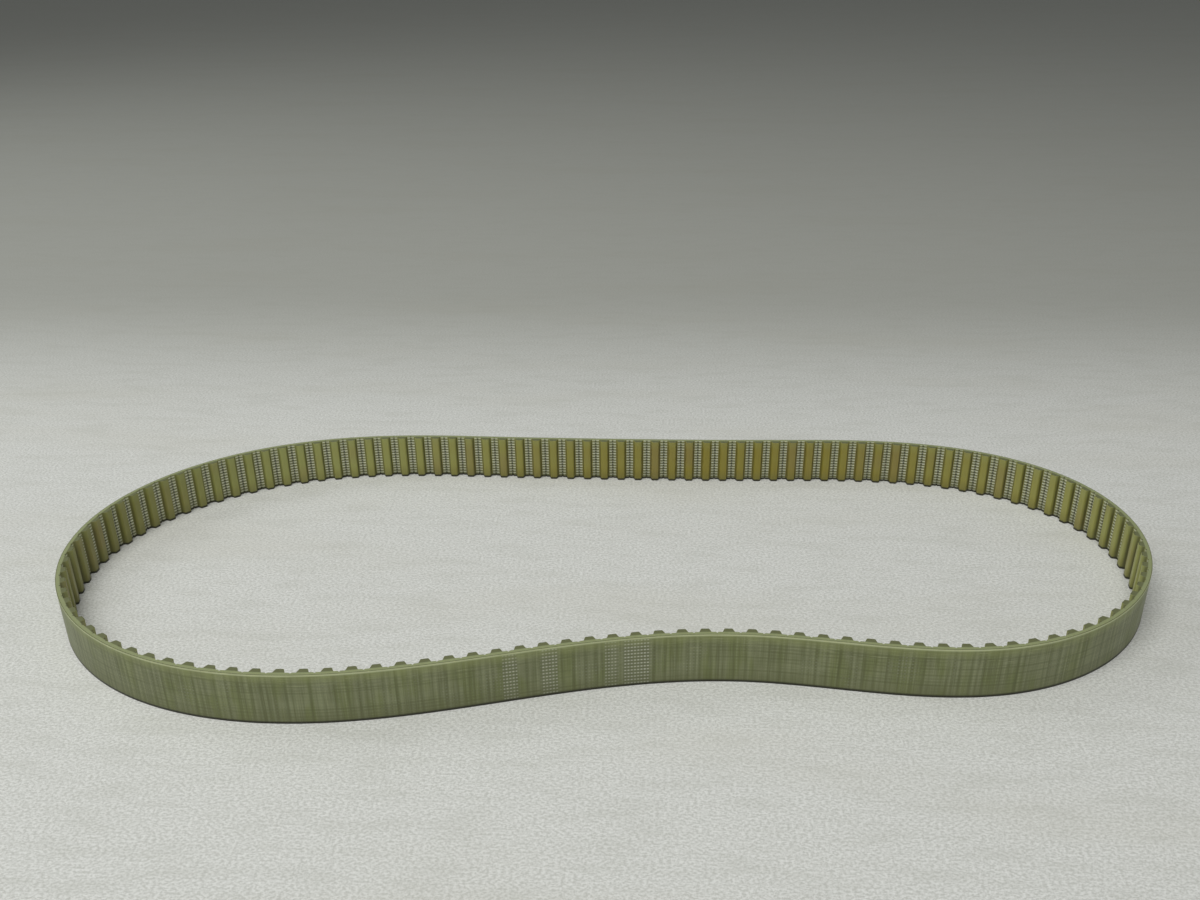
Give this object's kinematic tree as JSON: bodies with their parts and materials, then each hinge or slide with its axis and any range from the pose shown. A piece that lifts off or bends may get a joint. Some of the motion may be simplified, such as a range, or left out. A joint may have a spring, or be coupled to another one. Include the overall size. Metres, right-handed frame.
{
  "type": "timing belt",
  "caption": "Endless toothed timing belt of translucent olive polyurethane with steel tension cords, standing on edge in a loose bean-shaped loop.",
  "frame": {"origin": "middle of the loop's bounding box, on the lower cut edge that the belt stands on", "axes": "+Z across the belt's width, up; +X along the loop's length; +Y from the dented near run to the long far run"},
  "size_m": [0.5328, 0.233, 0.025],
  "materials": {
    "polyurethane": "satin",
    "steel_cord": "satin"
  },
  "bodies": {
    "root": {"belt_body": "polyurethane", "steel_cord_s": "steel_cord", "steel_cord_z": "steel_cord"}
  },
  "joints": []
}
